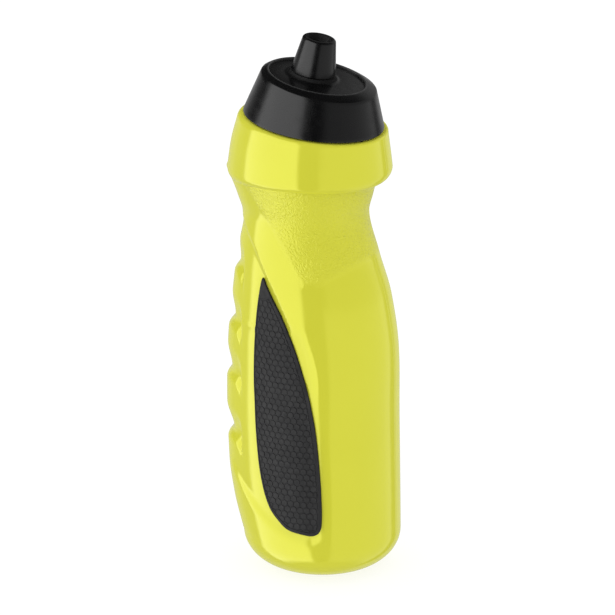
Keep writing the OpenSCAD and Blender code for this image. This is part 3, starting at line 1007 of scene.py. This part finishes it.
def build_world():
    world = bpy.data.worlds.new("studio")
    bpy.context.scene.world = world
    world.use_nodes = True
    tree = world.node_tree
    tree.nodes.clear()
    make = tree.nodes.new
    join = tree.links.new
    place = make("ShaderNodeTexCoord")
    split = make("ShaderNodeSeparateXYZ")
    join(place.outputs["Generated"], split.inputs[0])
    angle = make("ShaderNodeMath")
    angle.operation = "ARCTAN2"
    join(split.outputs["Y"], angle.inputs[0])
    join(split.outputs["X"], angle.inputs[1])

    brightest = 3.0

    def map_range(value, low, high):
        node = make("ShaderNodeMapRange")
        node.inputs["From Min"].default_value = low
        node.inputs["From Max"].default_value = high
        join(value, node.inputs["Value"])
        return node.outputs["Result"]

    def wall(levels):
        ramp = make("ShaderNodeValToRGB")
        stops = ramp.color_ramp.elements
        while len(stops) > 1:
            stops.remove(stops[-1])
        for k, (bearing, level) in enumerate(levels):
            at = (bearing + 180) / 360
            stop = stops[0] if k == 0 else stops.new(at)
            stop.position = at
            stop.color = (level / brightest,) * 3 + (1,)
        join(turn, ramp.inputs["Fac"])
        return ramp.outputs["Color"]

    def mix(factor, a, b):
        node = make("ShaderNodeMix")
        node.data_type = "RGBA"
        join(factor, node.inputs["Factor"])
        for name, value in (("A", a), ("B", b)):
            socket = next(s for s in node.inputs if s.name == name and s.type == "RGBA")
            if isinstance(value, float):
                socket.default_value = (value / brightest,) * 3 + (1,)
            else:
                join(value, socket)
        return next(s for s in node.outputs if s.type == "RGBA")

    turn = map_range(angle.outputs[0], -math.pi, math.pi)
    height = split.outputs["Z"]
    mirrored = mix(map_range(height, -0.07, 0.14), wall(LOW_WALL), wall(MIDDLE_WALL))
    mirrored = mix(map_range(height, 0.48, 0.62), mirrored, wall(HIGH_WALL))
    mirrored = mix(map_range(height, 0.80, 0.90), mirrored, CEILING)
    mirrored = mix(map_range(height, -0.82, -0.92), mirrored, GROUND)
    path = make("ShaderNodeLightPath")
    background = make("ShaderNodeBackground")
    background.inputs["Strength"].default_value = brightest
    join(mix(path.outputs["Is Glossy Ray"], SOFT_LIGHT, mirrored), background.inputs["Color"])
    output = make("ShaderNodeOutputWorld")
    join(background.outputs[0], output.inputs["Surface"])


def build_floor():
    m = Nodes("pale_floor")
    colour = m.mix(m.ramp(m.noise(3, 2), 0, 1), (0.20, 0.20, 0.20), (0.22, 0.22, 0.22))
    roughness = m.ramp(m.noise(20, 2), 0.85, 0.95)
    normal = m.bump(m.noise(300, 2), 0.02, 0.0002)
    material = m.finish(colour, roughness, normal, **{
        "Specular IOR Level": 0.0, "Emission Strength": 0.82, "Emission Color": (1, 1, 1, 1)})
    half = 6.0
    corners = [(-half, -half, 0), (half, -half, 0), (half, half, 0), (-half, half, 0)]
    mesh = bpy.data.meshes.new("floor")
    mesh.from_pydata(corners, [], [(0, 1, 2, 3)])
    mesh.materials.append(material)
    floor = bpy.data.objects.new("floor", mesh)
    bpy.context.scene.collection.objects.link(floor)
    floor.location.z = -0.0002
    floor.visible_glossy = False


# Soft light from behind on each side, which shows in no reflection: world bearing, strength
RIM_LIGHTS = {"rim_left": (157, 1.1), "rim_right": (80, 0.7)}


def build_rim_lights():
    for name, (bearing, strength) in RIM_LIGHTS.items():
        data = bpy.data.lights.new(name, "SUN")
        data.energy = strength
        data.angle = math.radians(40)
        lamp = bpy.data.objects.new(name, data)
        bpy.context.scene.collection.objects.link(lamp)
        turn, rise = math.radians(bearing), math.radians(6)
        flat = math.cos(rise)
        towards = Vector((math.cos(turn) * flat, math.sin(turn) * flat, math.sin(rise)))
        lamp.rotation_euler = towards.to_track_quat("Z", "Y").to_euler()
        lamp.visible_glossy = False


# ---- the scene ----

build_camera()
bpy.context.scene.view_settings.view_transform = "Standard"

yellow = body_plastic()
black = cap_plastic()
rubber = grip_rubber()
silicone = seal_rubber()
grip_left, grip_right = build_grips(rubber)
PIECES = [
    (build_bottle(yellow), "bottle", "bottle_body", "body_plastic"),
    (grip_left, "bottle", "grip_left", "grip_rubber"),
    (grip_right, "bottle", "grip_right", "grip_rubber"),
    (build_cap_shell(black), "cap", "cap_shell", "cap_plastic"),
    (build_cap_insert(black), "cap", "cap_insert", "cap_plastic"),
    (build_o_ring(silicone), "cap", "spout_ring", "seal_rubber"),
    (build_spout(black), "spout", "spout", "cap_plastic"),
    (build_gasket(silicone), "gasket", "neck_gasket", "seal_rubber"),
]
for piece, body, node, slot in PIECES:
    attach(piece, body)
    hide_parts(node)

build_world()
build_rim_lights()
build_floor()
